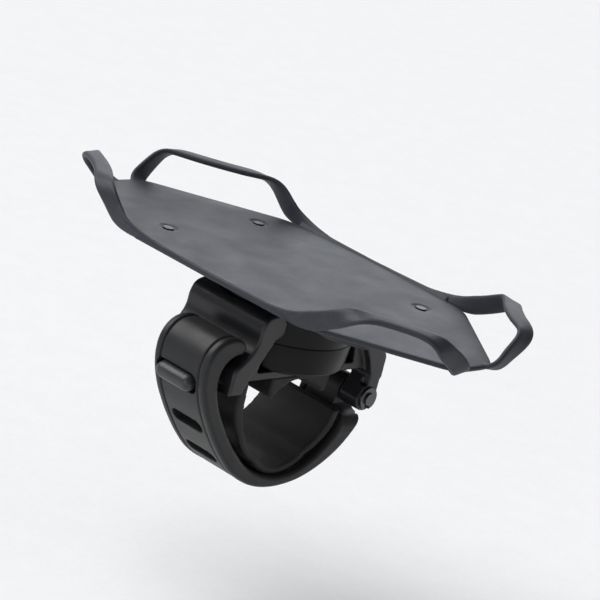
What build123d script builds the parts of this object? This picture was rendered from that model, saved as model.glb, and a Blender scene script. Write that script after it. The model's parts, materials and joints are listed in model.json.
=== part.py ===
"""Phone mount for a bicycle stem: a strapped saddle, a turntable and a cradle with four corner bands.

Millimetres. The origin is the stem's axis at the middle of the clamp, +Y points forward along
the stem, +X to the rider's right, and +Z up, square to the cradle.
"""
from build123d import *
from math import cos, hypot, radians, sin
import os

os.makedirs("parts", exist_ok=True)

# Driving dimensions
stem_radius = 14.3          # 28.6 mm round stem
bracket_rear = -17.0        # the flanges reach further back than the roof
bracket_front = 14.0
strap_width = 21.4
strap_middle = -4.9         # the strap sits towards the rider's end of the bracket
cradle_height = 44.5        # the phone's back above the stem's axis
phone_width = 70.6
phone_length = 146.6
phone_thickness = 8.25

# Saddle bracket
roof_top = 18.4
roof_bottom = 16.0
roof_rear = -14.5
wall_foot = 13.0
flange_top = 37.4
turntable_clearance = 23.7
pad_half_width = 13.0
pad_length = 28.0

# Peg and hinge pin of the strap
peg_length = 14.5
peg_thickness = 5.2
peg_root = (-31.2, 20.3)
peg_tip = (-45.9, 13.9)
peg_middle = -3.9
root_x = 29.6
root_z = 7.0
root_knuckle_radius = 4.4
root_knuckle_front = 6.0
root_knuckle_rear = -9.0
pin_radius = 2.0
pin_overhang = 1.6

# Strap: pivot of the slotted end, slots
pivot_x = -30.3
pivot_z = -5.2
split_gap = 0.3
slot_size = (12.5, 7.4)
peg_slot_size = (16.5, 8.6)  # room for the slot to leave the peg on an arc

# Turntable
base_top = 27.2
rotor_bottom = 27.5
base_radius = 22.0
rotor_radius = 23.0
axle_radius = 4.0
screw_spots = [(-17.0, -6.5), (-17.0, 6.5), (17.0, -6.5), (17.0, 6.5)]

# Cradle
plate_thickness = 2.5
web_thickness = 1.6
web_bottom = cradle_height - web_thickness
plate_bottom = web_bottom - plate_thickness
rotor_top = plate_bottom
plate_slots = (14.0, 7.0)   # lightening slots fore and aft of the turntable
plate_spots = [(-12.0, -12.0), (-12.0, 12.0), (12.0, -12.0), (12.0, 12.0)]
rivet_spots = [(-20.0, -34.0), (-20.0, 34.0), (20.0, -34.0), (20.0, 34.0)]
lip_inner = 35.7
lip_outer = 37.3
lip_height = 1.2
lip_half_length = 31.0
web_half_width = 35.5
web_half_length = 73.5

# Corner bands
band_width = 5.6
band_thickness = 2.2
band_gap = 0.3
band_root_radius = 1.2
band_root_z = cradle_height - band_root_radius
side_inner = phone_width / 2 + 0.5
side_outer = side_inner + band_thickness
end_inner = phone_length / 2 + 0.5
end_outer = end_inner + band_thickness
band_bottom = cradle_height + phone_thickness + 0.2
band_top = band_bottom + band_thickness
root_side = side_inner + band_thickness / 2
root_end = end_inner + band_thickness / 2
# name: side of X, side of Y, then where the band crosses the phone's long edge (top, foot)
# and its short edge (top, foot)
band_corners = {
    "band_front_left": (-1, 1, 48.0, 38.5, 18.0, 9.5),
    "band_front_right": (1, 1, 45.0, 35.0, 14.0, 6.5),
    "band_rear_left": (-1, -1, 52.0, 39.0, 22.0, 11.0),
    "band_rear_right": (1, -1, 52.0, 39.0, 16.0, 6.5),
}


def write(piece, label):
    piece.part.label = label
    export_step(piece.part, f"parts/{label}.step")


def section_plane(y):
    """Plane across the stem at y, with its local axes along +X and +Z; it extrudes towards -Y."""
    return Plane(origin=(0, y, 0), x_dir=(1, 0, 0), z_dir=(0, -1, 0))


def ring(outer, inner, bottom, height):
    """A flat ring on the turntable's axis, for washers and spacers."""
    with BuildPart() as piece:
        with BuildSketch(Plane.XY.offset(bottom)):
            Circle(outer)
            Circle(inner, mode=Mode.SUBTRACT)
        extrude(amount=height)
    return piece


def screws(spots, head_bottom, head_radius, head_height, shank_radius, tip):
    """Pan-head screws at the spots, pointing from the head towards the tip height."""
    with BuildPart() as group:
        with BuildSketch(Plane.XY.offset(head_bottom)):
            with Locations(*spots):
                Circle(head_radius)
        extrude(amount=head_height)
        top = head_bottom + head_height if tip > head_bottom else head_bottom
        with BuildSketch(Plane.XY.offset(top)):
            with Locations(*spots):
                Circle(shank_radius)
        extrude(amount=tip - top)
        drive = head_bottom if tip > head_bottom else head_bottom + head_height
        inward = 1 if tip > head_bottom else -1
        with BuildSketch(Plane.XY.offset(drive)):
            with Locations(*spots):
                RegularPolygon(head_radius * 0.5, 6)
        extrude(amount=inward * head_height * 0.6, mode=Mode.SUBTRACT)
    return group


# --- saddle bracket: roof, side walls and S-shaped flanges each side of the turntable ---
bracket_length = bracket_front - bracket_rear
lug_slots = [(bracket_rear, root_knuckle_rear - band_gap), (root_knuckle_front + band_gap, bracket_front)]

with BuildPart() as base_bracket:
    with BuildSketch(section_plane(bracket_front)):
        with BuildLine():
            Polyline((0, roof_top), (-21.6, roof_top), (-20.6, 23.6), (-20.2, 29.0))
            Polyline((-20.2, 29.0), (-16.6, 30.8), (-16.6, 35.6), (-21.0, flange_top))
            Spline((-21.0, flange_top), (-25.6, 36.2), (-27.0, 33.0), (-27.3, 28.8), (-30.4, 24.0),
                   (-34.2, 21.4), tangents=[(-1.0, -0.05), (-1.0, -0.5)])
            Polyline((-34.2, 21.4), (-34.4, wall_foot), (-28.8, wall_foot), (-28.6, 14.6))
            Polyline((-28.6, 14.6), (-26.6, roof_bottom), (0, roof_bottom), (0, roof_top))
        make_face()
        mirror(about=Plane.YZ)
    extrude(amount=bracket_length)
    # the roof stops short of the flanges' rear ends
    with BuildSketch(section_plane(roof_rear)):
        with BuildLine():
            Polyline((0, 29.0), (-20.2, 29.0), (-23.8, 23.4), (-26.2, 19.6), (-28.6, 14.6))
            Polyline((-28.6, 14.6), (-28.6, wall_foot - 1.0), (0, wall_foot - 1.0), (0, 29.0))
        make_face()
        mirror(about=Plane.YZ)
    extrude(amount=roof_rear - bracket_rear, mode=Mode.SUBTRACT)
    # lugs that hold the strap's hinge pin under the right wall
    for rear, front in lug_slots:
        with BuildSketch(section_plane(front)):
            with BuildLine():
                Polyline((28.8, 14.0), (33.7, 14.0), (root_x + 4.3, root_z), (root_x - 4.3, root_z),
                         (28.8, 14.0))
            make_face()
            with Locations((root_x, root_z)):
                Circle(root_knuckle_radius)
        extrude(amount=front - rear)
    with BuildSketch(section_plane(bracket_front)):
        with Locations((root_x, root_z)):
            Circle(pin_radius)
    extrude(amount=bracket_length, mode=Mode.SUBTRACT)
    # scallop that clears the turntable
    with BuildSketch(Plane.XY.offset(roof_top)):
        Circle(turntable_clearance)
    extrude(amount=flange_top, mode=Mode.SUBTRACT)
    with BuildSketch(Plane.XY.offset(roof_bottom)):
        with Locations(*screw_spots):
            Circle(1.5)
    extrude(amount=roof_top - roof_bottom, mode=Mode.SUBTRACT)
    # socket of the strap peg
    run = hypot(peg_tip[0] - peg_root[0], peg_tip[1] - peg_root[1])
    peg_axis = ((peg_tip[0] - peg_root[0]) / run, 0, (peg_tip[1] - peg_root[1]) / run)
    peg_plane = Plane(origin=(peg_root[0], peg_middle, peg_root[1]), x_dir=(0, 1, 0), z_dir=peg_axis)
    with BuildSketch(peg_plane):
        SlotOverall(peg_length, peg_thickness)
    extrude(amount=run, mode=Mode.SUBTRACT)
write(base_bracket, "base_bracket")

with BuildPart() as strap_peg:
    with BuildSketch(peg_plane):
        SlotOverall(peg_length, peg_thickness)
    extrude(amount=run)
    fillet(strap_peg.faces().sort_by(Axis(peg_plane.origin, peg_axis))[-1].edges(), 1.4)
write(strap_peg, "strap_peg")

# --- rubber pad between the roof and the stem ---
with BuildPart() as saddle_pad:
    with BuildSketch(section_plane(pad_length / 2)):
        with BuildLine():
            Polyline((-pad_half_width, roof_bottom), (pad_half_width, roof_bottom),
                     (pad_half_width, 10.0), (11.6, 8.0), (-11.6, 8.0), (-pad_half_width, 10.0),
                     (-pad_half_width, roof_bottom))
        make_face()
        Circle(stem_radius, mode=Mode.SUBTRACT)
    extrude(amount=pad_length)
write(saddle_pad, "saddle_pad")

# --- inner grip liner: bonded to the roof inside the left wall, it cups the stem from below ---
liner_thickness = 2.3
liner_outer = stem_radius + liner_thickness
cup = radians(45)
cup_in = (stem_radius * sin(cup), -stem_radius * cos(cup))
cup_out = (liner_outer * sin(cup), -liner_outer * cos(cup))

with BuildPart() as grip_liner:
    with BuildSketch(section_plane(pad_length / 2)):
        with BuildLine():
            RadiusArc((-cup_in[0], cup_in[1]), cup_in, -stem_radius)
            Spline(cup_in, (18.2, -2.4), (19.8, 2.6), tangents=[(1, 1), (0.25, 1)])
            Line((19.8, 2.6), (22.8, 2.6))
            Spline((22.8, 2.6), (20.6, -4.4), cup_out, tangents=[(-0.2, -1), (-1, -1)])
            RadiusArc(cup_out, (-cup_out[0], cup_out[1]), liner_outer)
            Spline((-cup_out[0], cup_out[1]), (-19.6, -5.0), (-26.2, 6.6), (-26.4, roof_bottom),
                   tangents=[(-1, 1), (0, 1)])
            Line((-26.4, roof_bottom), (-23.2, roof_bottom))
            Spline((-23.2, roof_bottom), (-22.4, 6.6), (-17.2, -4.2), (-cup_in[0], cup_in[1]),
                   tangents=[(0, -1), (1, -1)])
        make_face()
    extrude(amount=pad_length)
write(grip_liner, "grip_liner")

# --- strap: fixed part from the hinge pin round under the stem ---
along = (0.672, -0.741)                    # the strap's direction where it is split
inward = (0.741, 0.672)
thickness_at_split = 5.2
split_outer = (pivot_x + along[0] * split_gap, pivot_z + along[1] * split_gap)
split_inner = (split_outer[0] + inward[0] * thickness_at_split,
               split_outer[1] + inward[1] * thickness_at_split)
strap_front = strap_middle + strap_width / 2
end_inner_corner = (pivot_x + inward[0] * thickness_at_split,
                    pivot_z + inward[1] * thickness_at_split)


def slot_cutter(y, middle, normal, size):
    """A rounded slot's solid, long along the stem, through the strap at the middle point."""
    plane = Plane(origin=(middle[0], y, middle[1]), x_dir=(0, 1, 0),
                  z_dir=(normal[0], 0, normal[1]))
    with BuildPart() as cutter:
        with BuildSketch(plane):
            RectangleRounded(*size, 2.2)
        extrude(amount=6.5, both=True)
    return cutter.part


peg_slot = slot_cutter(peg_middle, (-40.6, 16.0), (0.925, 0.38), peg_slot_size)
upper_slot = slot_cutter(strap_middle, (-33.2, 1.8), (0.79, 0.612), slot_size)
lower_slot = slot_cutter(strap_middle, (-23.6, -8.5), (0.66, 0.75), slot_size)

with BuildPart() as strap:
    with BuildSketch(section_plane(strap_front)):
        with BuildLine():
            Spline((root_x + root_knuckle_radius, root_z), (31.2, -3.0), (18.0, -15.6),
                   (-2.0, -20.2), (-20.6, -14.2), split_outer,
                   tangents=[(0, -1), (-along[0], -along[1])])
            Line(split_outer, split_inner)
            Spline(split_inner, (-21.0, -7.4), (-12.0, -13.7), (0, -16.8), (15.0, -11.6),
                   (24.0, -1.4), (root_x - root_knuckle_radius, root_z),
                   tangents=[along, (0, 1)])
            Line((root_x - root_knuckle_radius, root_z), (root_x + root_knuckle_radius, root_z))
        make_face()
        with Locations((root_x, root_z)):
            Circle(root_knuckle_radius)
            Circle(pin_radius, mode=Mode.SUBTRACT)
    extrude(amount=strap_width)
    # the strap's root is narrowed to fit between the lugs
    strap_rear = strap_front - strap_width
    for rear, front in ((root_knuckle_front, strap_front), (strap_rear, root_knuckle_rear)):
        with BuildSketch(section_plane(front)):
            with Locations((root_x, root_z + 1.0)):
                Rectangle(16.0, 14.0)
        extrude(amount=front - rear, mode=Mode.SUBTRACT)
    add(lower_slot, mode=Mode.SUBTRACT)
write(strap, "strap")

# --- slotted end of the strap, hooked on the peg, with its curled pull tab ---
with BuildPart() as strap_end:
    with BuildSketch(section_plane(strap_front)):
        with BuildLine():
            Spline((pivot_x, pivot_z), (-35.4, 0.7), (-40.2, 7.2), (-44.2, 16.6), (-44.9, 23.4),
                   (-41.6, 28.8), (-35.6, 30.4), tangents=[(-along[0], -along[1]), (1, 0)])
            Spline((-35.6, 30.4), (-31.0, 29.0), (-29.6, 27.0), (-30.6, 25.2), (-34.2, 24.4),
                   tangents=[(1, 0), (-1, -0.1)])
            Spline((-34.2, 24.4), (-38.0, 19.4), (-36.9, 13.6), (-31.6, 4.4), end_inner_corner,
                   tangents=[(-1, -0.3), along])
            Line(end_inner_corner, (pivot_x, pivot_z))
        make_face()
    extrude(amount=strap_width)
    add(peg_slot, mode=Mode.SUBTRACT)
    add(upper_slot, mode=Mode.SUBTRACT)
write(strap_end, "strap_end")

# --- hinge pin of the strap's root, with its two retaining clips ---
clip_thickness = 0.8
clip_places = (bracket_front + 0.9, bracket_rear - 0.1)

with BuildPart() as root_pin:
    with BuildSketch(section_plane(bracket_front + pin_overhang)):
        with Locations((root_x, root_z)):
            Circle(pin_radius)
    extrude(amount=bracket_length + 2 * pin_overhang)
    for front in clip_places:
        with BuildSketch(section_plane(front)):
            with Locations((root_x, root_z)):
                Circle(pin_radius)
                Circle(pin_radius - 0.5, mode=Mode.SUBTRACT)
        extrude(amount=clip_thickness, mode=Mode.SUBTRACT)
write(root_pin, "root_pin")

with BuildPart() as pin_clips:
    for front in clip_places:
        with BuildSketch(section_plane(front)):
            with Locations((root_x, root_z)):
                Circle(pin_radius + 1.6)
                Circle(pin_radius - 0.5, mode=Mode.SUBTRACT)
            with Locations((root_x, root_z - 3.0)):
                Rectangle(2.4, 6.0, mode=Mode.SUBTRACT)
        extrude(amount=clip_thickness)
write(pin_clips, "pin_clips")

# --- turntable base: the fixed lower half of the drum, screwed to the roof ---
with BuildPart() as turntable_base:
    with BuildSketch(section_plane(0)):
        with BuildLine():
            Polyline((axle_radius, roof_top), (base_radius - 0.9, roof_top), (base_radius, 19.4),
                     (base_radius + 0.6, base_top), (16.6, base_top), (16.6, base_top - 1.2),
                     (14.4, base_top - 1.2), (14.4, base_top), (axle_radius, base_top),
                     (axle_radius, roof_top))
        make_face()
    revolve(axis=Axis.Z)
    with BuildSketch(Plane.XY.offset(roof_top)):
        RegularPolygon(7.2, 6, major_radius=False)
    extrude(amount=4.2, mode=Mode.SUBTRACT)
    with BuildSketch(Plane.XY.offset(roof_top)):
        with Locations(*screw_spots):
            Circle(1.2)
    extrude(amount=6.6, mode=Mode.SUBTRACT)
write(turntable_base, "turntable_base")

write(screws(screw_spots, roof_bottom - 1.6, 2.6, 1.6, 1.2, roof_top + 6.4), "base_screws")

# --- axle: shoulder bolt with a lock nut below and a spring washer under its head ---
with BuildPart() as axle_nut:
    with BuildSketch(Plane.XY.offset(roof_top)):
        RegularPolygon(7.1, 6, major_radius=False)
        Circle(axle_radius - 1.0, mode=Mode.SUBTRACT)
    extrude(amount=4.0)
write(axle_nut, "axle_nut")

bolt_seat = 34.6
washer_height = 0.8
with BuildPart() as axle_bolt:
    with BuildSketch(Plane.XY.offset(roof_top)):
        Circle(axle_radius - 1.0)
    extrude(amount=4.2)
    with BuildSketch(Plane.XY.offset(roof_top + 4.2)):
        Circle(axle_radius - 0.05)
    extrude(amount=bolt_seat + washer_height - roof_top - 4.2)
    with BuildSketch(Plane.XY.offset(bolt_seat + washer_height)):
        Circle(7.0)
    extrude(amount=3.0)
    with BuildSketch(Plane.XY.offset(bolt_seat + washer_height + 3.0)):
        RegularPolygon(2.5, 6, major_radius=False)
    extrude(amount=-2.0, mode=Mode.SUBTRACT)
    chamfer(axle_bolt.edges().filter_by(GeomType.CIRCLE).sort_by(Axis.Z)[-1], 0.5)
write(axle_bolt, "axle_bolt")

write(ring(7.6, axle_radius, bolt_seat, washer_height), "spring_washer")
write(ring(12.6, axle_radius, base_top, rotor_bottom - base_top), "slide_washer")

with BuildPart() as drag_ring:
    with BuildSketch(section_plane(0)):
        with Locations((15.5, base_top - 0.3)):
            RectangleRounded(1.6, 1.6, 0.5)
    revolve(axis=Axis.Z)
write(drag_ring, "drag_ring")

# --- rotor: the turning upper half of the drum ---
with BuildPart() as rotor:
    with BuildSketch(section_plane(0)):
        with BuildLine():
            Polyline((axle_radius + 0.02, rotor_bottom), (base_radius + 0.6, rotor_bottom),
                     (rotor_radius, 36.0), (rotor_radius - 0.2, rotor_top - 0.8),
                     (rotor_radius - 1.0, rotor_top), (8.4, rotor_top), (8.4, bolt_seat),
                     (axle_radius + 0.02, bolt_seat),
                     (axle_radius + 0.02, rotor_bottom))
        make_face()
        with Locations((15.5, rotor_bottom)):
            Rectangle(2.4, 1.2, mode=Mode.SUBTRACT)
    revolve(axis=Axis.Z)
    with BuildSketch(Plane.XY.offset(rotor_top)):
        with Locations(*plate_spots):
            Circle(1.2)
    extrude(amount=-7.0, mode=Mode.SUBTRACT)
write(rotor, "rotor")

# --- cradle plate: stiff waisted plate under the silicone web ---
with BuildPart() as cradle_plate:
    with BuildSketch(Plane.XY.offset(plate_bottom)):
        with BuildLine():
            Polyline((0, 49.0), (-21.0, 49.0), (-27.5, 40.0), (-23.5, 16.0), (-23.5, -16.0),
                     (-27.5, -40.0), (-21.0, -49.0), (0, -49.0), (0, 49.0))
        make_face()
        mirror(about=Plane.YZ)
        fillet(vertices().filter_by(lambda v: abs(v.X) > 1), 4.0)
        with Locations((0, -33.0), (0, 33.0)):
            SlotOverall(*plate_slots, mode=Mode.SUBTRACT)
        with Locations(*plate_spots):
            Circle(1.5, mode=Mode.SUBTRACT)
        with Locations(*rivet_spots):
            Circle(1.6, mode=Mode.SUBTRACT)
    extrude(amount=plate_thickness)
    with BuildSketch(Plane.XY.offset(web_bottom)):
        with Locations(*plate_spots):
            Circle(2.8)
    extrude(amount=-1.3, mode=Mode.SUBTRACT)
write(cradle_plate, "cradle_plate")

write(screws(plate_spots, web_bottom - 1.25, 2.6, 1.2, 1.15, rotor_top - 6.8), "plate_screws")

# --- silicone web: the sheet under the phone, with a low lip along each long side ---
web_outline = []
for label in ("band_front_left", "band_rear_left", "band_rear_right", "band_front_right"):
    sx, sy, side_top, side_foot, end_top, end_foot = band_corners[label]
    run_x = root_side - end_foot
    run_y = root_end - side_foot
    back = (band_root_radius + band_gap) * hypot(run_x, run_y)
    side_y = side_foot + (run_y * (root_side - web_half_width) - back) / run_x
    end_x = end_foot + (run_x * (root_end - web_half_length) - back) / run_y
    at_side = (sx * web_half_width, sy * side_y)
    at_end = (sx * end_x, sy * web_half_length)
    web_outline += [at_end, at_side] if sx * sy < 0 else [at_side, at_end]

with BuildPart() as holder_web:
    with BuildSketch(Plane.XY.offset(web_bottom)):
        with BuildLine():
            Polyline(*web_outline, close=True)
        make_face()
        Rectangle(2 * lip_outer, 2 * lip_half_length)
        with Locations(*rivet_spots):
            Circle(1.6, mode=Mode.SUBTRACT)
    extrude(amount=web_thickness)
    with BuildSketch(Plane.XY.offset(cradle_height)):
        for sx in (-1, 1):
            with Locations((sx * (lip_inner + lip_outer) / 2, 0)):
                Rectangle(lip_outer - lip_inner, 2 * lip_half_length)
    extrude(amount=lip_height)
write(holder_web, "holder_web")

with BuildPart() as web_rivets:
    with BuildSketch(Plane.XY.offset(plate_bottom)):
        with Locations(*rivet_spots):
            Circle(1.6)
    extrude(amount=cradle_height - plate_bottom)
    with BuildSketch(Plane.XY.offset(plate_bottom)):
        with Locations(*rivet_spots):
            Circle(3.4)
    extrude(amount=-1.0)
write(web_rivets, "web_rivets")


# --- corner bands: each a closed loop round one corner of the phone, hinged at its root ---
def corner_band(sx, sy, side_top, side_foot, end_top, end_foot):
    run_x = side_outer - end_top
    run_y = end_outer - side_top
    reach = hypot(run_x, run_y)
    side_spread = band_width / 2 * reach / run_x
    end_spread = band_width / 2 * reach / run_y
    foot_spread = band_width / 2
    with BuildPart() as band:
        with BuildSketch(Plane.XY.offset(band_bottom)):
            with BuildLine():
                Polyline((sx * side_outer, sy * (side_top - side_spread)),
                         (sx * side_outer, sy * (side_top + side_spread)),
                         (sx * (end_top + end_spread), sy * end_outer),
                         (sx * (end_top - end_spread), sy * end_outer), close=True)
            make_face()
        extrude(amount=band_top - band_bottom)
        side_plane = Plane(origin=(sx * side_inner, 0, 0), x_dir=(0, 1, 0), z_dir=(1, 0, 0))
        with BuildSketch(side_plane):
            with BuildLine():
                Polyline((sy * (side_top - side_spread), band_top),
                         (sy * (side_top + side_spread), band_top),
                         (sy * (side_foot + foot_spread), band_root_z),
                         (sy * (side_foot - foot_spread), band_root_z), close=True)
            make_face()
        extrude(amount=sx * band_thickness)
        end_plane = Plane(origin=(0, sy * end_inner, 0), x_dir=(1, 0, 0), z_dir=(0, -1, 0))
        with BuildSketch(end_plane):
            with BuildLine():
                Polyline((sx * (end_top - end_spread), band_top),
                         (sx * (end_top + end_spread), band_top),
                         (sx * (end_foot + foot_spread), band_root_z),
                         (sx * (end_foot - foot_spread), band_root_z), close=True)
            make_face()
        extrude(amount=-sy * band_thickness)
        start = Vector(sx * root_side, sy * side_foot, band_root_z)
        finish = Vector(sx * end_foot, sy * root_end, band_root_z)
        with BuildSketch(Plane(origin=start, z_dir=finish - start)):
            Circle(band_root_radius)
        extrude(amount=(finish - start).length)
    return band


for label, corner in band_corners.items():
    write(corner_band(*corner), label)
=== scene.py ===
"""Looks of the phone mount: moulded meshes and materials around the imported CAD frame.

Lengths in the builders are millimetres in the part's frame and become metres when a mesh is made.
"""
import json
import math

import bmesh
import bpy
import numpy as np
from mathutils import Matrix, Vector

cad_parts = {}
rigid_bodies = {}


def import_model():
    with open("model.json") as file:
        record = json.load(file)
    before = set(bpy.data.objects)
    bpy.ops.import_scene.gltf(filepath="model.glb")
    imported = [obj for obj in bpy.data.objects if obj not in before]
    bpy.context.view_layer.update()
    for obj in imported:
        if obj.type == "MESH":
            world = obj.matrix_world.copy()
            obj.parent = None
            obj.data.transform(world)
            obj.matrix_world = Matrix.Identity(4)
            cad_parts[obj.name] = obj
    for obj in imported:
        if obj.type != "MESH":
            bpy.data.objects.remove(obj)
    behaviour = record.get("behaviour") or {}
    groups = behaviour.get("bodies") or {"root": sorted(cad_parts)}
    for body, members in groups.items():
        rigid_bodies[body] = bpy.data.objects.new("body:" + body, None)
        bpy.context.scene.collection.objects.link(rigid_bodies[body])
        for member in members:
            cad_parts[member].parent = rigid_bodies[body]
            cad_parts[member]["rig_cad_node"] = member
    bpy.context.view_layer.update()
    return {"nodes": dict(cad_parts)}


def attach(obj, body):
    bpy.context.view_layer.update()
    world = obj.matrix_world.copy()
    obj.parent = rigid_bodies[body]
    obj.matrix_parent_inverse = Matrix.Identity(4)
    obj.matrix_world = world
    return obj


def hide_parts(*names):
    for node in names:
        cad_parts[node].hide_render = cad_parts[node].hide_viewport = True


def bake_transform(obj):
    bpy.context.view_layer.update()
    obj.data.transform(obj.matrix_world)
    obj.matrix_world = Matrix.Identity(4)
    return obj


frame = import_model()

MM = 0.001

# Sizes shared with the CAD model, in millimetres
STEM_RADIUS = 14.3
CRADLE_HEIGHT = 44.5           # the phone's back
PHONE = (70.6, 146.6, 8.25)    # across, along, thick
BRACKET_REAR, BRACKET_FRONT = -17.0, 14.0
ROOF_REAR = -14.5
ROOF_TOP = 18.4
ROOF_BOTTOM = 16.0
WALL_FOOT = 13.0
DRUM_CLEARANCE = 23.7
GRIP_REAR, GRIP_FRONT = -14.0, 14.0    # pad and liner
STRAP_REAR, STRAP_FRONT = -15.6, 5.8
ROOT = (29.6, 7.0)             # the strap's hinge pin, in X and Z
ROOT_RADIUS = 4.4
ROOT_REAR, ROOT_FRONT = -9.0, 6.0
LUG_GAP = 0.3
PIN_RADIUS = 2.0
STRAP_MIDDLE, PEG_MIDDLE = -4.9, -3.9
BASE_TOP, ROTOR_BOTTOM, ROTOR_TOP = 27.2, 27.5, 40.4
AXLE_RADIUS = 4.0
WEB_BOTTOM = 42.9
WEB_HALF_WIDTH, WEB_HALF_LENGTH = 35.5, 73.5
RAIL_SIDE, RAIL_HALF_LENGTH = 36.5, 31.0
HINGE_GAP = 1.5                # from the sheet's cut corners to the lines the bands hinge on
ROOT_SIDE, ROOT_END = 36.9, 74.9
RIVETS = [(x, y) for x in (-20.0, 20.0) for y in (-34.0, 34.0)]
RIVET_RADIUS = 1.6
# side of X, side of Y, then where the band crosses the phone's long edge (top, foot)
# and its short edge (top, foot)
BANDS = {
    "band_front_left": (-1, 1, 48.0, 38.5, 18.0, 9.5),
    "band_front_right": (1, 1, 45.0, 35.0, 14.0, 6.5),
    "band_rear_left": (-1, -1, 52.0, 39.0, 22.0, 11.0),
    "band_rear_right": (1, -1, 52.0, 39.0, 16.0, 6.5),
}

# Sizes of this model alone, in millimetres
SLOT_SIZE, PEG_SLOT_SIZE = (12.3, 5.0), (16.0, 6.5)
PEG_HALF_LENGTH, PEG_HALF_HEIGHT = 7.2, 2.6


# --- curves and meshes ---
def unit(v):
    v = np.asarray(v, float)
    return v / max(np.linalg.norm(v), 1e-9)


def smooth_run(points, step=0.6):
    """A Catmull-Rom curve through the points, open, sampled about every step."""
    p = np.asarray(points, float)
    p = np.vstack([2 * p[0] - p[1], p, 2 * p[-1] - p[-2]])
    out = []
    for a, b, c, d in zip(p, p[1:], p[2:], p[3:]):
        count = max(2, int(np.linalg.norm(c - b) / step))
        for t in np.arange(count) / count:
            out.append(0.5 * (2 * b + (c - a) * t + (2 * a - 5 * b + 4 * c - d) * t**2
                              + (3 * b - a - 3 * c + d) * t**3))
    return np.array(out + [p[-2]])


def arc(radius, start, stop, centre=(0, 0), count=28):
    """Points on a circle between two angles in degrees."""
    angles = np.radians(np.linspace(start, stop, count))
    return np.stack([centre[0] + radius * np.cos(angles), centre[1] + radius * np.sin(angles)], 1)


def mirrored(points):
    """The points on the other side of the middle plane, in reverse order."""
    return (np.asarray(points, float) * (-1, 1))[::-1]


def closed(*runs):
    """One outline from runs of points, without repeated points, anticlockwise."""
    same = 0.08
    out = []
    for p in np.vstack([np.asarray(r, float) for r in runs]):
        if not out or np.linalg.norm(p - out[-1]) > same:
            out.append(p)
    if np.linalg.norm(out[0] - out[-1]) < same:
        out.pop()
    out = np.array(out)
    x, y = out.T
    area = np.sum(x * np.roll(y, -1) - y * np.roll(x, -1))
    return out if area > 0 else out[::-1]


def grown(outline, amount):
    """The outline moved outward by the amount, by its points' normals."""
    ahead, behind = np.roll(outline, -1, 0), np.roll(outline, 1, 0)
    tangent = ahead - behind
    tangent /= np.maximum(np.linalg.norm(tangent, axis=1), 1e-9)[:, None]
    return outline + amount * np.stack([tangent[:, 1], -tangent[:, 0]], 1)


def solid(name, rings, caps=True):
    """A closed mesh object from rings of points in millimetres, each joined to the next."""
    count = len(rings[0])
    verts = [tuple(np.asarray(p) * MM) for ring in rings for p in ring]
    faces = []
    for k in range(len(rings) - 1):
        for i in range(count):
            j = (i + 1) % count
            faces.append((k * count + i, k * count + j, (k + 1) * count + j, (k + 1) * count + i))
    if caps:
        faces.append(tuple(reversed(range(count))))
        faces.append(tuple((len(rings) - 1) * count + i for i in range(count)))
    mesh = bpy.data.meshes.new(name)
    mesh.from_pydata(verts, [], faces)
    work = bmesh.new()
    work.from_mesh(mesh)
    bmesh.ops.recalc_face_normals(work, faces=work.faces)
    work.to_mesh(mesh)
    work.free()
    obj = bpy.data.objects.new(name, mesh)
    bpy.context.scene.collection.objects.link(obj)
    return obj


def rim_rings(outline, low, high, radii, place, steps=5):
    """Rings of an extrusion whose two rims are rounded, each with its own radius."""
    rings = []
    for level, radius, away in ((low, radii[0], 1), (high, radii[1], -1)):
        turn = []
        for k in range(steps + 1):
            a = math.pi / 2 * k / steps
            inset = radius * (1 - math.sin(a))
            rise = radius * (1 - math.cos(a))
            turn.append((grown(outline, -inset), level + away * rise))
        rings += turn[::away]
    return [[place(p, level) for p in ring] for ring, level in rings]


def across(name, outline, rear, front, radius, front_radius=None):
    """An extrusion along the stem of an outline given in X and Z."""
    radii = (radius, radius if front_radius is None else front_radius)
    rings = rim_rings(outline, rear, front, radii, lambda p, y: (p[0], y, p[1]))
    return solid(name, rings)


def upright(name, outline, bottom, top, radius):
    """An extrusion along +Z of an outline given in X and Y."""
    rings = rim_rings(outline, bottom, top, (radius, radius), lambda p, z: (p[0], p[1], z))
    return solid(name, rings)


def sideways(name, outline, left, right):
    """An extrusion along +X of an outline given in Y and Z."""
    return solid(name, [[(x, p[0], p[1]) for p in outline] for x in (left, right)])


def lathe(name, profile, segments=144):
    """A closed solid of revolution about +Z, from a closed profile of radius and height."""
    profile = closed(profile)
    rings = []
    for k in range(segments):
        a = 2 * math.pi * k / segments
        rings.append([(r * math.cos(a), r * math.sin(a), z) for r, z in profile])
    return solid(name, rings + rings[:1], caps=False)


def rounded_profile(points, radius, steps=5):
    """A closed polygon with each corner turned into a small curve."""
    most = 0.45    # of a side's length that one corner may take
    p = np.asarray(points, float)
    out = []
    for before, corner, after in zip(np.roll(p, 1, 0), p, np.roll(p, -1, 0)):
        into, away = before - corner, after - corner
        reach = min(radius, np.linalg.norm(into) * most, np.linalg.norm(away) * most)
        a, b = corner + unit(into) * reach, corner + unit(away) * reach
        for t in np.linspace(0, 1, steps):
            out.append((1 - t) ** 2 * a + 2 * t * (1 - t) * corner + t**2 * b)
    return np.array(out)


def apply_modifier(obj, kind, **values):
    """Adds one modifier, applies it and leaves the plain mesh."""
    modifier = obj.modifiers.new("work", kind)
    for key, value in values.items():
        setattr(modifier, key, value)
    bpy.context.view_layer.update()
    graph = bpy.context.evaluated_depsgraph_get()
    mesh = bpy.data.meshes.new_from_object(obj.evaluated_get(graph))
    obj.modifiers.clear()
    old = obj.data
    obj.data = mesh
    bpy.data.meshes.remove(old)


def discard(obj):
    mesh = obj.data
    bpy.data.objects.remove(obj)
    bpy.data.meshes.remove(mesh)


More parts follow.
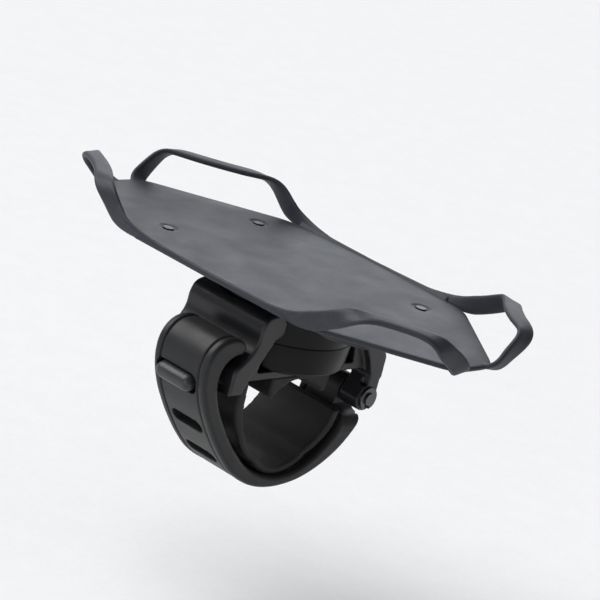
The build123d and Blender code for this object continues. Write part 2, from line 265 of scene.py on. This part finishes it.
def joined(name, parts):
    """One object with the meshes of all the parts."""
    work = bmesh.new()
    for part in parts:
        work.from_mesh(part.data)
    mesh = bpy.data.meshes.new(name)
    work.to_mesh(mesh)
    work.free()
    for part in parts:
        discard(part)
    obj = bpy.data.objects.new(name, mesh)
    bpy.context.scene.collection.objects.link(obj)
    return obj


def moulded(name, parts, cutters=(), voxel=0.3, soften=4):
    """The parts fused into one moulded skin, with the cutters taken out and its edges softened."""
    obj = joined(name, parts)
    apply_modifier(obj, "REMESH", mode="VOXEL", voxel_size=voxel * MM)
    for cutter in cutters:
        apply_modifier(obj, "BOOLEAN", operation="DIFFERENCE", object=cutter, solver="EXACT")
        discard(cutter)
    if cutters:
        apply_modifier(obj, "REMESH", mode="VOXEL", voxel_size=voxel * MM)
    if soften:
        apply_modifier(obj, "SMOOTH", factor=0.5, iterations=soften)
    return shaded(obj)


def shaded(obj):
    obj.data.polygons.foreach_set("use_smooth", [True] * len(obj.data.polygons))
    return obj


def sweep(name, path, normals, widths, thicknesses, power=3.2, count=28):
    """A strip with a soft rectangular section along a path, closed by rounded ends."""
    path = np.asarray(path, float)
    tangents = np.gradient(path, axis=0)
    angles = np.linspace(0, 2 * math.pi, count, endpoint=False)
    shape = np.stack([np.sign(np.cos(angles)) * np.abs(np.cos(angles)) ** (2 / power),
                      np.sign(np.sin(angles)) * np.abs(np.sin(angles)) ** (2 / power)], 1)
    rings = []
    for p, t, n, w, h in zip(path, tangents, normals, widths, thicknesses):
        t = unit(t)
        n = unit(n - t * (n @ t))
        side = np.cross(t, n)
        rings.append(p + shape[:, :1] * side * w / 2 + shape[:, 1:] * n * h / 2)
    return solid(name, rings)


# --- procedural materials ---
def node(tree, kind, inputs=None, **settings):
    made = tree.nodes.new(kind)
    for key, value in settings.items():
        setattr(made, key, value)
    for key, value in (inputs or {}).items():
        if isinstance(value, bpy.types.NodeSocket):
            tree.links.new(value, made.inputs[key])
        else:
            made.inputs[key].default_value = value
    return made


def finish_material(name, dark, light, rough, grain, depth, shader=None):
    """A moulded or metal finish: mottled colour, uneven gloss, worn edges and a fine grain.

    dark and light are the ends of the colour's variation, rough the ends of the roughness,
    grain the size of the surface texture and depth its height, both in millimetres. shader
    holds further settings of the surface shader.
    """
    material = bpy.data.materials.new(name)
    material.use_nodes = True
    tree = material.node_tree
    tree.nodes.clear()
    size = grain * MM
    place = node(tree, "ShaderNodeTexCoord").outputs["Object"]
    cloud = node(tree, "ShaderNodeTexNoise",
                 {"Vector": place, "Scale": 90.0, "Detail": 5.0, "Roughness": 0.6})
    fine = node(tree, "ShaderNodeTexNoise",
                {"Vector": place, "Scale": 1 / size, "Detail": 3.0, "Roughness": 0.55})
    cells = node(tree, "ShaderNodeTexVoronoi", {"Vector": place, "Scale": 0.7 / size})
    mottle = node(tree, "ShaderNodeMath", {0: cloud.outputs["Fac"], 1: fine.outputs["Fac"]},
                  operation="ADD")
    spread = node(tree, "ShaderNodeMapRange",
                  {"Value": mottle.outputs[0], "From Min": 0.75, "From Max": 1.25})
    colour = node(tree, "ShaderNodeMix", {"Factor": spread.outputs["Result"]}, data_type="RGBA")
    colour.inputs[6].default_value = (*dark, 1)
    colour.inputs[7].default_value = (*light, 1)
    edge = node(tree, "ShaderNodeNewGeometry").outputs["Pointiness"]
    wear = node(tree, "ShaderNodeMapRange", {"Value": edge, "From Min": 0.52, "From Max": 0.62,
                                             "To Min": 0.0, "To Max": 0.35})
    worn = node(tree, "ShaderNodeMix", {"Factor": wear.outputs["Result"]}, data_type="RGBA")
    tree.links.new(colour.outputs[2], worn.inputs[6])
    worn.inputs[7].default_value = (*[min(1.0, c * 1.7 + 0.01) for c in light], 1)
    gloss = node(tree, "ShaderNodeMapRange",
                 {"Value": cloud.outputs["Fac"], "From Min": 0.3, "From Max": 0.7,
                  "To Min": rough[0], "To Max": rough[1]})
    height = node(tree, "ShaderNodeMath", {0: fine.outputs["Fac"], 1: cells.outputs["Distance"]},
                  operation="ADD")
    bump = node(tree, "ShaderNodeBump",
                {"Height": height.outputs[0], "Strength": 0.5, "Distance": depth * MM})
    surface = node(tree, "ShaderNodeBsdfPrincipled",
                   {"Base Color": worn.outputs[2], "Roughness": gloss.outputs["Result"],
                    "Normal": bump.outputs["Normal"], **(shader or {})})
    out = node(tree, "ShaderNodeOutputMaterial")
    tree.links.new(surface.outputs[0], out.inputs["Surface"])
    return material


# name: colour's dark and light ends, roughness' ends, grain, its depth, further shader settings
FINISHES = {
    "bracket": ((0.0070, 0.0072, 0.0084), (0.011, 0.0115, 0.0135), (0.34, 0.46), 0.35, 0.03,
                {"Specular IOR Level": 0.45}),
    "peg": ((0.018, 0.019, 0.022), (0.026, 0.027, 0.031), (0.36, 0.48), 0.45, 0.025,
            {"Specular IOR Level": 0.5}),
    "liner": ((0.007, 0.0068, 0.0068), (0.012, 0.0115, 0.0115), (0.52, 0.68), 0.4, 0.04,
              {"Sheen Weight": 0.05, "Specular IOR Level": 0.3}),
    "strap": ((0.0070, 0.0073, 0.0082), (0.011, 0.0115, 0.0128), (0.40, 0.54), 0.45, 0.03,
              {"Sheen Weight": 0.04, "Specular IOR Level": 0.35}),
    "silicone": ((0.013, 0.0152, 0.0222), (0.021, 0.0246, 0.0355), (0.48, 0.60), 0.7, 0.04,
                 {"Sheen Weight": 0.05, "Specular IOR Level": 0.40}),
    "drum": ((0.0022, 0.0022, 0.0027), (0.0040, 0.0040, 0.0048), (0.32, 0.44), 0.5, 0.015,
             {"Specular IOR Level": 0.18}),
    "plate": ((0.010, 0.010, 0.012), (0.016, 0.016, 0.019), (0.5, 0.62), 0.4, 0.04),
    "rivet": ((0.014, 0.014, 0.016), (0.022, 0.022, 0.025), (0.35, 0.45), 0.5, 0.02),
    "seal": ((0.006, 0.006, 0.006), (0.010, 0.010, 0.010), (0.4, 0.5), 0.5, 0.02),
    "nylon": ((0.60, 0.59, 0.55), (0.70, 0.69, 0.65), (0.35, 0.45), 0.6, 0.01),
    "steel": ((0.22, 0.22, 0.235), (0.32, 0.32, 0.335), (0.28, 0.42), 0.5, 0.01,
              {"Metallic": 1.0}),
    "black_steel": ((0.055, 0.055, 0.062), (0.095, 0.095, 0.105), (0.32, 0.46), 0.5, 0.01,
                    {"Metallic": 1.0}),
}
SKIN = {name: finish_material(name, *finish) for name, finish in FINISHES.items()}


def dressed(obj, skin):
    """Gives a piece its material."""
    obj.data.materials.clear()
    obj.data.materials.append(SKIN[skin])
    return obj


# --- saddle bracket, peg, pad and liner ---
def slot_block(name, along_stem, middle, normal, size, reach=5.5):
    """A rounded block, long along the stem, to cut a slot through the strap."""
    normal = unit(normal)
    tall = np.array([-normal[1], normal[0]])
    length, height = size
    corner = 2.2
    turns = []
    for cx, cy, start in ((1, 1, 0), (-1, 1, 90), (-1, -1, 180), (1, -1, 270)):
        centre = (cx * (length / 2 - corner), cy * (height / 2 - corner))
        turns.append(arc(corner, start, start + 90, centre, 8))
    outline = closed(*turns)
    rings = []
    for depth in (-reach, reach):
        ring = []
        for along, up in outline:
            xz = np.array(middle) + tall * up + normal * depth
            ring.append((xz[0], along_stem + along, xz[1]))
        rings.append(ring)
    return solid(name, rings)


def pin_hole(rear, front):
    """A rod along the stem in the place of the strap's hinge pin, to cut its hole."""
    circle = arc(PIN_RADIUS, 0, 351, ROOT, 40)
    return solid("pin_hole", [[(x, y, z) for x, z in circle] for y in (rear, front)])


def bracket():
    """The S-shaped bracket: roof, side walls and a flange each side of the turntable."""
    inside = [(0, ROOF_TOP), (21.6, ROOF_TOP), (20.6, 23.6), (20.2, 29.0), (16.9, 31.0),
              (16.7, 34.6)]
    outside = smooth_run([(16.7, 34.6), (18.6, 36.7), (22.4, 37.3), (25.6, 36.0), (27.0, 33.0),
                          (27.2, 29.2), (28.6, 26.0), (31.2, 23.2), (33.9, 20.8), (34.3, 17.0),
                          (34.4, WALL_FOOT)])
    foot = [(28.8, WALL_FOOT), (28.6, 14.6), (26.6, ROOF_BOTTOM), (0, ROOF_BOTTOM)]
    half = np.vstack([inside, outside, foot])
    outline = closed(half, mirrored(half))
    parts = [across("bracket_shell", outline, BRACKET_REAR, BRACKET_FRONT, 0.7)]
    lug = closed([(28.8, 14.0), (33.7, 14.0), (33.9, ROOT[1])],
                 arc(ROOT_RADIUS, 0, -180, ROOT, 24), [(25.2, ROOT[1])])
    for rear, front in ((BRACKET_REAR, ROOT_REAR - LUG_GAP),
                        (ROOT_FRONT + LUG_GAP, BRACKET_FRONT)):
        parts.append(across("bracket_lug", lug, rear, front, 0.5))
    # cutters reach past the bracket; their own edges stay sharp
    past, sharp = 1.0, 0.01
    pin = pin_hole(BRACKET_REAR - past, 18.0)
    scallop = upright("scallop", arc(DRUM_CLEARANCE, 0, 357, count=120), ROOF_TOP, 45.0, sharp)
    slope = [(20.2, 29.0), (22.2, 26.0), (23.8, 23.2), (26.2, 19.6), (28.6, 14.6), (28.6, 11.0)]
    end = across("end_relief", closed(slope, mirrored(slope)), BRACKET_REAR - past, ROOF_REAR,
                 sharp)
    obj = moulded("saddle_bracket", parts, [pin, scallop, end], voxel=0.32, soften=5)
    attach(obj, "base")
    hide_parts("base_bracket")
    return dressed(obj, "bracket")


def peg():
    """The pill-shaped peg: a slot section whose outer end is domed."""
    root, tip = np.array((-31.2, 20.3)), np.array((-45.9, 13.9))
    reach = np.linalg.norm(tip - root)
    axis = unit(tip - root)
    tall = np.array([-axis[1], axis[0]])
    straight = PEG_HALF_LENGTH - PEG_HALF_HEIGHT
    dome = 2.3
    shape = closed(arc(PEG_HALF_HEIGHT, -90, 90, (straight, 0), 20),
                   arc(PEG_HALF_HEIGHT, 90, 270, (-straight, 0), 20))
    rings = []
    levels = [(d, 0.0) for d in np.linspace(0, reach - dome, 14)]
    levels += [(reach - dome + dome * math.sin(a), dome * (1 - math.cos(a)))
               for a in np.linspace(0.15, math.pi / 2 * 0.96, 12)]
    for depth, inset in levels:
        ring = []
        for along, up in grown(shape, -inset):
            xz = root + axis * depth + tall * up
            ring.append((xz[0], PEG_MIDDLE + along, xz[1]))
        rings.append(ring)
    obj = shaded(solid("hook_peg", rings))
    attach(obj, "base")
    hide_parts("strap_peg")
    return dressed(obj, "peg")


def pad():
    """The rubber pad under the roof: a concave face between two blunt wings."""
    wing = [(-13.0, ROOF_BOTTOM), (-13.0, 11.6), (-12.8, 10.4), (-12.2, 9.5), (-11.5, 9.2)]
    outline = closed(wing, arc(STEM_RADIUS, 140, 40, count=40), mirrored(wing))
    block = across("pad_block", outline, GRIP_REAR, GRIP_FRONT, 0.8)
    obj = moulded("saddle_rubber", [block], voxel=0.35, soften=4)
    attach(obj, "base")
    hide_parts("saddle_pad")
    return dressed(obj, "liner")


def liner():
    """The liner: an arm from the roof inside the left wall, and a cup that holds the stem."""
    outer_radius = STEM_RADIUS + 2.3
    inner = np.vstack([
        smooth_run([(-23.2, ROOF_BOTTOM), (-22.9, 11.0), (-22.0, 5.0), (-18.6, -2.4),
                    (-14.6, -7.0), (-10.1, -10.1)]),
        arc(STEM_RADIUS, 225, 315),
        smooth_run([(10.1, -10.1), (14.6, -6.6), (18.2, -2.0), (19.8, 2.4)])])
    outer = np.vstack([
        smooth_run([(22.6, 2.4), (20.9, -4.0), (16.6, -8.6), (11.7, -11.7)]),
        arc(outer_radius, 315, 225),
        smooth_run([(-11.7, -11.7), (-17.0, -8.2), (-21.6, -2.2), (-25.4, 4.6), (-26.3, 10.4),
                    (-26.4, ROOF_BOTTOM)])])
    block = across("liner_band", closed(inner, outer), GRIP_REAR, GRIP_FRONT, 1.0)
    obj = moulded("stem_liner", [block], voxel=0.3, soften=4)
    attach(obj, "base")
    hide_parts("grip_liner")
    return dressed(obj, "liner")


# --- strap: one rubber piece from the hinge pin round to the hook ---
def strap_outline():
    outer = smooth_run([(34.0, 7.0), (33.2, 1.6), (30.4, -4.4), (24.8, -10.8), (17.4, -15.8),
                        (8.4, -19.2), (-2.0, -20.2), (-11.6, -18.6), (-20.6, -14.2),
                        (-27.4, -8.4), (-33.3, -1.9), (-37.4, 3.4), (-40.6, 8.2),
                        (-43.2, 13.4), (-44.7, 18.4), (-44.8, 23.2), (-43.2, 27.0),
                        (-40.0, 29.6), (-35.6, 30.4), (-31.6, 29.4), (-29.7, 27.0),
                        (-30.6, 25.2)])
    inner = smooth_run([(-30.6, 25.2), (-34.2, 24.4), (-36.8, 22.4), (-38.0, 19.4),
                        (-37.8, 16.2), (-36.4, 12.0), (-33.4, 6.8), (-29.2, 1.3),
                        (-25.2, -3.4), (-21.0, -7.4), (-16.8, -11.0), (-12.0, -13.9),
                        (-6.2, -16.0), (0.0, -16.8), (7.6, -15.6), (14.8, -11.6),
                        (20.4, -6.2), (23.8, -0.6), (25.2, 7.0)])
    return closed(outer, inner)


def root_relief(edge, knuckle, away):
    """What is cut beside the knuckle, where the strap narrows in a curve to fit the lugs."""
    step = knuckle - edge
    start, top = -4.5, 15.0
    curve = smooth_run([(edge, start), (edge + step * 0.08, -2.2), (edge + step * 0.3, -0.4),
                        (edge + step * 0.75, 0.6), (knuckle, 2.0)], 0.3)
    outline = closed([(edge + away, start)], curve, [(knuckle, top), (edge + away, top)])
    return sideways("root_relief", outline, 18.0, 38.5)


def strap():
    """A loop with a rim along each edge, set off by a crease, and three slots."""
    outline = strap_outline()
    rim, crease, depth = 2.6, 0.55, 0.75
    round_edge, crease_edge = 1.3, 0.35
    core_rear, core_front = STRAP_REAR + rim + crease, STRAP_FRONT - rim - crease
    knuckle = arc(ROOT_RADIUS, 0, 351, ROOT, 60)
    parts = [
        across("strap_web", grown(outline, -depth), STRAP_REAR + 1.5, STRAP_FRONT - 1.5, 0.1),
        across("strap_core", grown(outline, -0.1), core_rear, core_front, 0.25),
        across("strap_rim_rear", outline, STRAP_REAR, STRAP_REAR + rim, round_edge, crease_edge),
        across("strap_rim_front", outline, STRAP_FRONT - rim, STRAP_FRONT, crease_edge,
               round_edge),
        across("strap_knuckle", knuckle, ROOT_REAR, ROOT_FRONT, 0.5),
    ]
    slots = [slot_block("slot_a", PEG_MIDDLE, (-40.4, 16.3), (0.917, 0.399), PEG_SLOT_SIZE),
             slot_block("slot_b", STRAP_MIDDLE, (-33.2, 1.8), (0.79, 0.612), SLOT_SIZE),
             slot_block("slot_c", STRAP_MIDDLE, (-23.6, -8.5), (0.66, 0.75), SLOT_SIZE)]
    reliefs = [root_relief(STRAP_REAR, ROOT_REAR, -1.0), root_relief(STRAP_FRONT, ROOT_FRONT, 1.0)]
    pin = pin_hole(ROOT_REAR - 1.0, ROOT_FRONT + 1.0)
    cutters = [joined("slots", slots), joined("reliefs", reliefs), pin]
    obj = moulded("rubber_strap", parts, cutters, voxel=0.2, soften=4)
    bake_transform(obj)
    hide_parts("strap", "strap_end")
    return dressed(obj, "strap")


# --- turntable drum ---
def drum():
    """The two halves: the lower one's rim rises until only a fine seam is left."""
    rim = BASE_TOP + 0.16
    groove = BASE_TOP - 1.2
    lower = rounded_profile([
        (AXLE_RADIUS, ROOF_TOP), (21.1, ROOF_TOP), (22.0, 19.4), (22.6, rim), (21.6, rim),
        (21.4, BASE_TOP), (16.6, BASE_TOP), (16.6, groove), (14.4, groove), (14.4, BASE_TOP),
        (AXLE_RADIUS, BASE_TOP)], 0.15)
    base = shaded(lathe("drum_base", lower))
    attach(base, "base")
    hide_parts("turntable_base")
    bore = AXLE_RADIUS + 0.02
    bolt_seat = 34.6
    upper = rounded_profile([
        (bore, ROTOR_BOTTOM), (14.3, ROTOR_BOTTOM), (14.3, 28.3), (16.7, 28.3),
        (16.7, ROTOR_BOTTOM), (22.6, ROTOR_BOTTOM), (23.0, 36.0), (22.8, 39.6),
        (22.0, ROTOR_TOP), (8.4, ROTOR_TOP), (8.4, bolt_seat), (bore, bolt_seat)], 0.2)
    top = shaded(lathe("drum_rotor", upper))
    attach(top, "head")
    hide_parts("rotor")
    return dressed(base, "drum"), dressed(top, "drum")


# --- silicone web and corner bands ---
def web_outline():
    """Eight corners of the sheet, cut back from the lines on which the bands hinge."""
    corners = []
    for label in ("band_front_left", "band_rear_left", "band_rear_right", "band_front_right"):
        sx, sy, _, side_foot, _, end_foot = BANDS[label]
        run_x, run_y = ROOT_SIDE - end_foot, ROOT_END - side_foot
        back = HINGE_GAP * math.hypot(run_x, run_y)
        at_side = (sx * WEB_HALF_WIDTH,
                   sy * (side_foot + (run_y * (ROOT_SIDE - WEB_HALF_WIDTH) - back) / run_x))
        at_end = (sx * (end_foot + (run_x * (ROOT_END - WEB_HALF_LENGTH) - back) / run_y),
                  sy * WEB_HALF_LENGTH)
        corners += [at_end, at_side] if sx * sy < 0 else [at_side, at_end]
    return corners


def rivet_hole(x, y):
    """A hole through the sheet, with a wider shallow step at its top."""
    wide, step = RIVET_RADIUS + 1.5, CRADLE_HEIGHT - 0.3
    rings = []
    for radius, z in ((RIVET_RADIUS, WEB_BOTTOM - 1.0), (RIVET_RADIUS, step - 0.05),
                      (wide, step), (wide, CRADLE_HEIGHT + 1.0)):
        rings.append([(px, py, z) for px, py in arc(radius, 0, 352, (x, y), 48)])
    return solid("rivet_hole", rings)


def web():
    """The sheet under the phone, with a rail along each long side that thickens to its ends."""
    corners = rounded_profile(web_outline(), 5.0, 7)
    parts = [upright("web_sheet", closed(corners), WEB_BOTTOM, CRADLE_HEIGHT, 0.6)]
    for sx in (-1, 1):
        y = np.linspace(-RAIL_HALF_LENGTH, RAIL_HALF_LENGTH, 60)
        lift = 0.5 + 0.7 * np.abs(y / RAIL_HALF_LENGTH) ** 2
        top = CRADLE_HEIGHT + lift
        path = np.stack([np.full_like(y, sx * RAIL_SIDE), y, (top + WEB_BOTTOM) / 2], 1)
        normals = np.tile((0.0, 0.0, 1.0), (len(y), 1))
        parts.append(sweep("web_rail", path, normals, np.full_like(y, 1.7), top - WEB_BOTTOM))
    holes = joined("rivet_holes", [rivet_hole(x, y) for x, y in RIVETS])
    obj = moulded("silicone_web", parts, [holes], voxel=0.36, soften=3)
    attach(obj, "head")
    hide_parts("holder_web")
    return dressed(obj, "silicone")


def averaged(points, reach):
    """Each point replaced by the mean of its neighbours, with the two ends held."""
    padded = np.vstack([np.repeat(points[:1], reach, 0), points, np.repeat(points[-1:], reach, 0)])
    kernel = np.ones(2 * reach + 1) / (2 * reach + 1)
    return np.stack([np.convolve(padded[:, k], kernel, "valid") for k in range(3)], 1)


def nearest_on_phone(p, shrink):
    """The closest point of the phone's box, shrunk so that its edges act as rounded."""
    width, length, thickness = PHONE
    low = np.array([-width / 2 + shrink, -length / 2 + shrink, CRADLE_HEIGHT + shrink])
    high = np.array([width / 2 - shrink, length / 2 - shrink, CRADLE_HEIGHT + thickness - shrink])
    return np.clip(p, low, high)


def band_guide(label):
    """Points from inside the rail, up the phone's side, over its corner and down its end."""
    sx, sy, side_top, side_foot, end_top, end_foot = BANDS[label]
    screen = CRADLE_HEIGHT + PHONE[2]
    edge, crossing = screen + 0.6, screen + 1.4
    guide = [
        (RAIL_SIDE, side_foot - 22.0, 44.2),
        (RAIL_SIDE, side_foot - 14.0, 44.4),
        (37.0, side_foot - 6.0, 44.9),
        (37.4, side_foot + 1.0, 46.6),
        (37.4, side_top - 3.4, 50.8),
        (36.4, side_top + 0.4, edge),
        ((35.0 * 2 + end_top) / 3, (side_top * 2 + 73.0) / 3, crossing),
        ((35.0 + end_top * 2) / 3, (side_top + 73.0 * 2) / 3, crossing),
        (end_top + 0.4, 74.4, edge),
        (end_top - 2.4, 75.4, 50.6),
        (end_foot + 1.2, 75.4, 46.4),
        (end_foot - 0.8, 74.8, 44.0),
        (end_foot - 3.0, 71.6, 43.5),
        (end_foot - 5.0, 65.0, 43.6),
    ]
    return np.array(guide) * (sx, sy, 1)


def band(label):
    """A corner band that hugs the phone's corner, thin where it leaves the rail and the sheet."""
    path = smooth_run(band_guide(label), 0.7)
    # the phone's edges act as rounded by shrink, and the band stands off them by gap
    shrink, gap, thickness = 2.0, 0.35, 1.9
    away = shrink + gap + thickness / 2
    above_back = 1.5
    normals = []
    for i, p in enumerate(path):
        near = nearest_on_phone(p, shrink)
        normal = unit(p - near)
        normals.append(normal)
        if p[2] > CRADLE_HEIGHT + above_back:
            path[i] = near + normal * away
    path = averaged(averaged(path, 4), 3)
    normals = averaged(averaged(np.array(normals), 5), 4)
    rail_width, wider, rail_thickness, tail_thickness = 1.2, 4.5, 1.0, 1.3
    share = np.linspace(0, 1, len(path))
    ease = np.clip(share / 0.26, 0, 1) ** 1.2
    widths = rail_width + wider * ease
    thick = rail_thickness + (thickness - rail_thickness) * ease
    tail = np.clip((1 - share) / 0.12, 0, 1)
    thick = tail_thickness + (thick - tail_thickness) * tail
    strip = sweep(label + "_strip", path, normals, widths, thick)
    obj = moulded(label + "_loop", [strip], voxel=0.28, soften=4)
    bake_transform(obj)
    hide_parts(label)
    return dressed(obj, "silicone")


# --- camera, light and floor ---
def camera():
    """The camera stands behind and left of the mount, turned a little about its line of sight."""
    place = (-0.57107, -0.45592, 0.25772)
    right, up = Vector((0.65788, -0.70872, 0.25478)), Vector((0.05551, 0.38301, 0.92208))
    data = bpy.data.cameras.new("camera")
    data.sensor_width = 36.0
    data.lens = 155.0
    data.clip_start, data.clip_end = 0.01, 20.0
    obj = bpy.data.objects.new("camera", data)
    back = right.cross(up).normalized()
    turned = Matrix((right, up, back)).transposed().to_4x4()
    obj.matrix_world = Matrix.Translation(place) @ turned
    bpy.context.scene.collection.objects.link(obj)
    bpy.context.scene.camera = obj


def lamp(name, place, size, power, colour=(1, 1, 1)):
    """A soft rectangular lamp, aimed at the middle of the part."""
    aim = Vector((0, 0, 0.03))
    data = bpy.data.lights.new(name, "AREA")
    data.shape = "RECTANGLE"
    data.size, data.size_y = size
    data.energy = power
    data.color = colour
    obj = bpy.data.objects.new(name, data)
    obj.location = place
    obj.rotation_euler = (aim - Vector(place)).to_track_quat("-Z", "Y").to_euler()
    bpy.context.scene.collection.objects.link(obj)


def sky(name, toward, spread, strength, colour=(1, 1, 1)):
    """A soft light from far off in one direction, as wide in degrees as the spread."""
    data = bpy.data.lights.new(name, "SUN")
    data.energy = strength
    data.angle = math.radians(spread)
    data.color = colour
    obj = bpy.data.objects.new(name, data)
    obj.rotation_euler = Vector(toward).to_track_quat("Z", "Y").to_euler()
    bpy.context.scene.collection.objects.link(obj)


def studio():
    """A pale floor, a broad soft key from above, a low light beyond and a weak fill lamp."""
    sky("key", (-0.31, 0.59, 0.72), 55, 2.7)
    sky("beyond", (0.72, 0.58, 0.42), 40, 0.75, (0.92, 0.95, 1.0))
    lamp("fill", (-0.95, -0.20, 0.20), (0.5, 0.5), 1.5, (0.95, 0.97, 1.0))
    world = bpy.data.worlds.new("studio")
    world.use_nodes = True
    background = world.node_tree.nodes["Background"]
    background.inputs["Color"].default_value = (0.96, 0.97, 1.0, 1)
    background.inputs["Strength"].default_value = 0.26
    bpy.context.scene.world = world
    bpy.context.scene.view_settings.view_transform = "Standard"
    half, level = 6, -0.06
    corners = [(-half, -half, level), (half, -half, level), (half, half, level),
               (-half, half, level)]
    mesh = bpy.data.meshes.new("floor")
    mesh.from_pydata(corners, [], [(0, 1, 2, 3)])
    floor = bpy.data.objects.new("floor", mesh)
    bpy.context.scene.collection.objects.link(floor)
    floor.data.materials.append(finish_material(
        "floor", (0.90, 0.90, 0.90), (0.93, 0.93, 0.93), (0.9, 0.95), 2.0, 0.01))


# CAD nodes that show as they are, with the finish each gets
KEPT_CAD = {
    "root_pin": "black_steel", "pin_clips": "black_steel", "base_screws": "steel",
    "axle_nut": "steel", "axle_bolt": "steel", "spring_washer": "steel",
    "plate_screws": "steel", "slide_washer": "nylon", "drag_ring": "seal",
    "cradle_plate": "plate", "web_rivets": "rivet",
}

camera()
studio()
for cad_node, skin in KEPT_CAD.items():
    dressed(frame["nodes"][cad_node], skin)
bracket()
peg()
pad()
liner()
strap()
drum()
web()
for band_label in BANDS:
    band(band_label)
